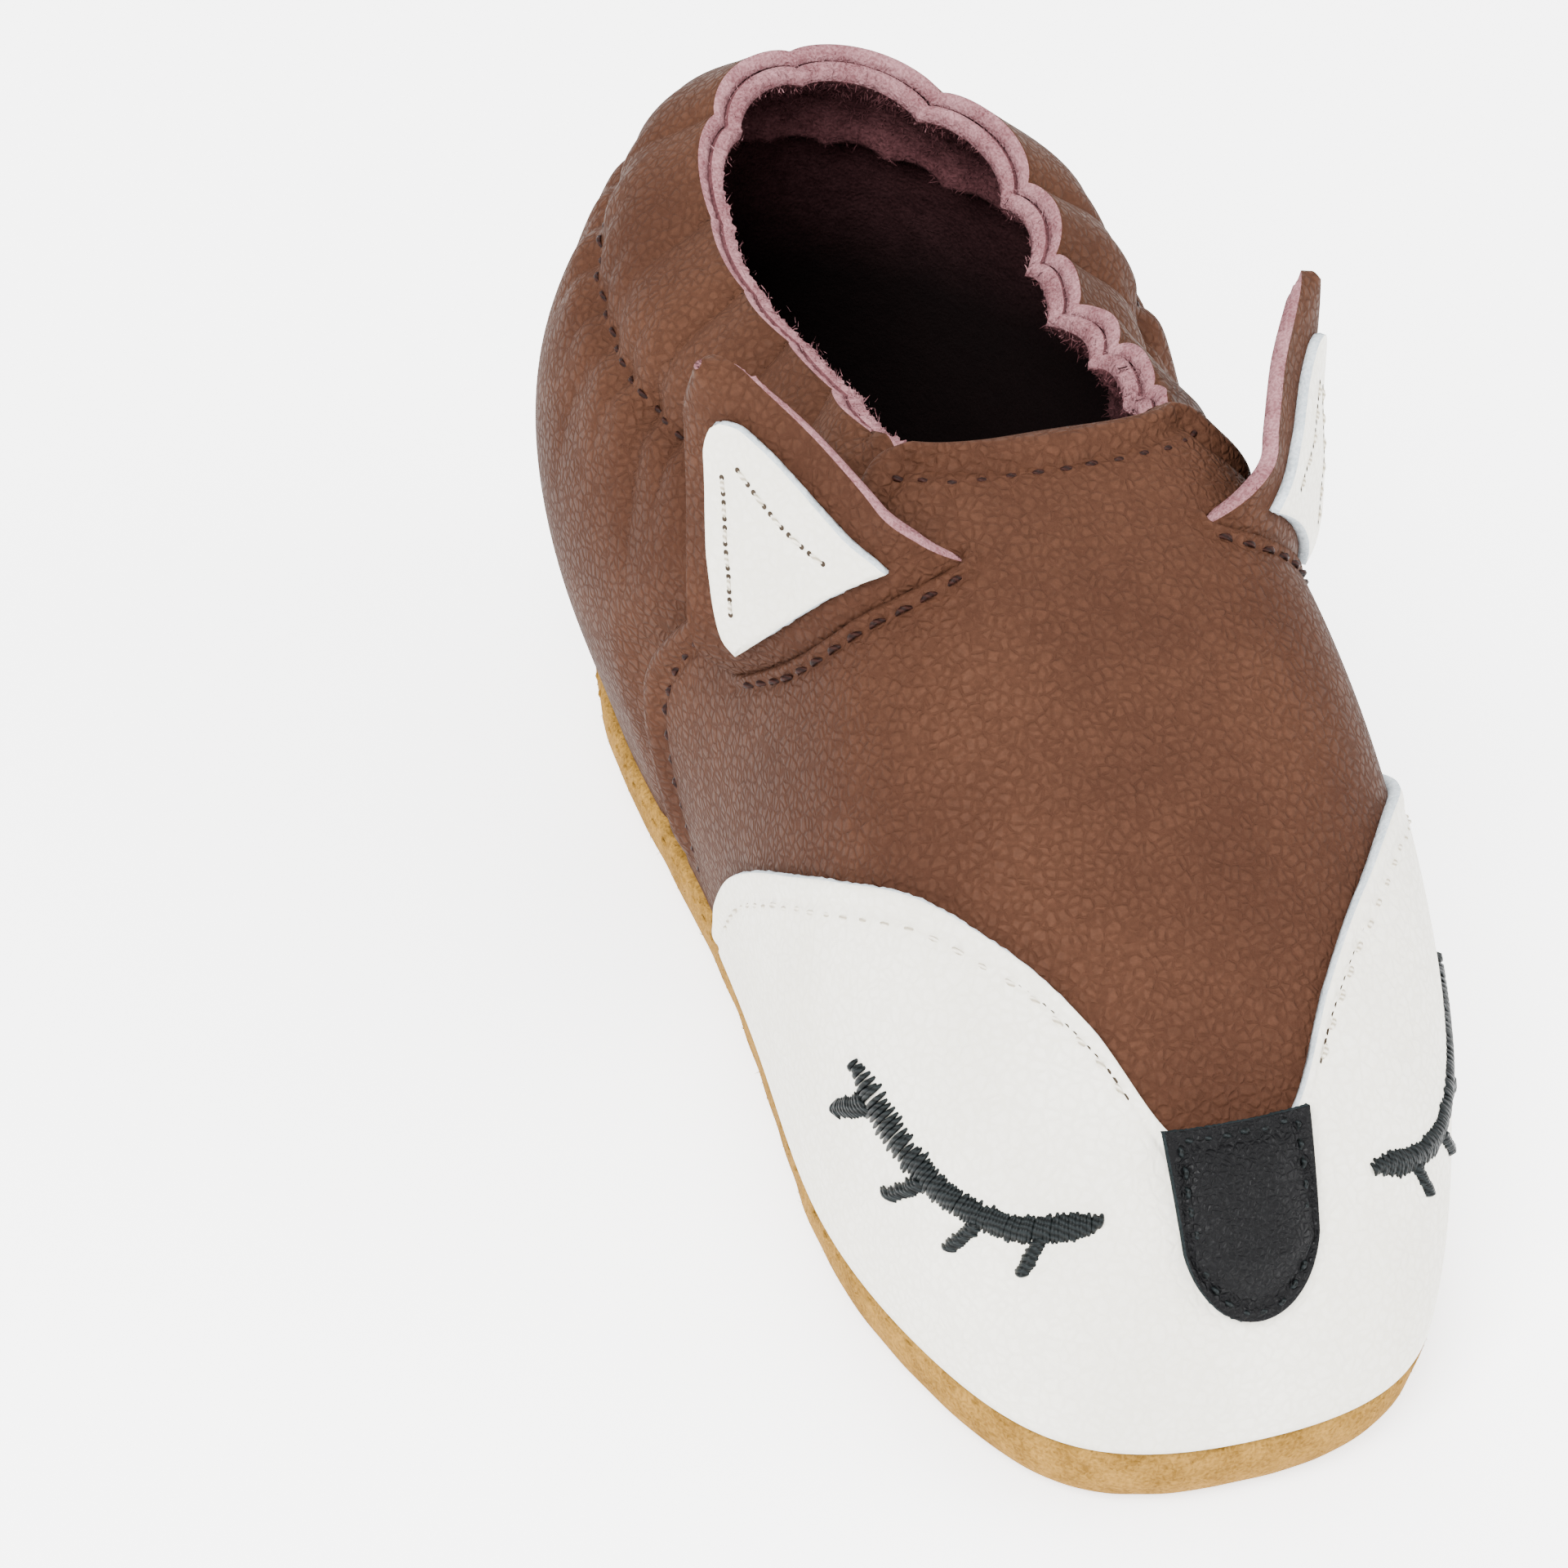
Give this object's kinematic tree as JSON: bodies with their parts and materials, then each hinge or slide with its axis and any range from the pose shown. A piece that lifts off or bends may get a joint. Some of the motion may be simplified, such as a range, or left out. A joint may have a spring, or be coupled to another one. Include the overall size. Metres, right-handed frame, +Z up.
{
  "type": "baby bootie",
  "caption": "Soft leather slip-on baby bootie with a fox face on the toe, upright folding ears, a gathered elastic collar and a flexible throat over a suede sole.",
  "frame": {"origin": "on the ground under the middle of the foot, where the sole's flat underside rests", "axes": "+Z up, the toe towards -Y, the heel towards +Y, the wearer's little-toe side towards +X"},
  "size_m": [0.054, 0.1272, 0.0639],
  "materials": {
    "brown_leather": "pebbled full grain",
    "white_leather": "smooth",
    "black_leather": "fine grain",
    "mauve_suede": "suede flesh side",
    "suede_sole": "napped suede",
    "insole_fabric": "soft lining",
    "foam": "soft padding",
    "elastic": "flat braided elastic",
    "dark_thread": "sewing thread",
    "black_thread": "embroidery thread",
    "cream_thread": "sewing thread"
  },
  "bodies": {
    "shoe": {"outsole": "suede_sole", "sole_seam": "dark_thread", "insole_foam": "foam", "insole_lining": "insole_fabric", "vamp_lower": "brown_leather", "heel_panel": "brown_leather", "collar_elastic": "elastic", "collar_facing": "mauve_suede", "collar_stitch": "dark_thread", "toe_mask": "white_leather", "mask_topstitch": "cream_thread", "nose_patch": "black_leather", "nose_stitch": "black_thread", "eyelash_left": "black_thread", "eyelash_right": "black_thread", "side_stitch": "dark_thread"},
    "tongue": {"vamp_tongue": "brown_leather", "throat_stitch": "dark_thread", "ear_left_root": "brown_leather", "ear_left_seam": "dark_thread", "ear_right_root": "brown_leather", "ear_right_seam": "dark_thread"},
    "ear_left": {"ear_left_flap": "brown_leather", "ear_left_patch": "white_leather", "ear_left_patch_stitch": "cream_thread"},
    "ear_right": {"ear_right_flap": "brown_leather", "ear_right_patch": "white_leather", "ear_right_patch_stitch": "cream_thread"}
  },
  "joints": [
    {"name": "throat_lift", "type": "hinge", "parent": "shoe", "child": "tongue", "pos_m": [0, -0.0326, 0.04244], "axis": [1, 0, 0], "range_deg": [0, 6], "stiffness_Nm_per_rad": 0.05},
    {"name": "ear_left_fold", "type": "hinge", "parent": "tongue", "child": "ear_left", "pos_m": [-0.01492, -0.01137, 0.05674], "axis": [0.4779, -0.5259, 0.7036], "range_deg": [-30, 55], "stiffness_Nm_per_rad": 0.004},
    {"name": "ear_right_fold", "type": "hinge", "parent": "tongue", "child": "ear_right", "pos_m": [0.01492, -0.01137, 0.05674], "axis": [0.4779, 0.5259, -0.7036], "range_deg": [-30, 55], "stiffness_Nm_per_rad": 0.004}
  ]
}
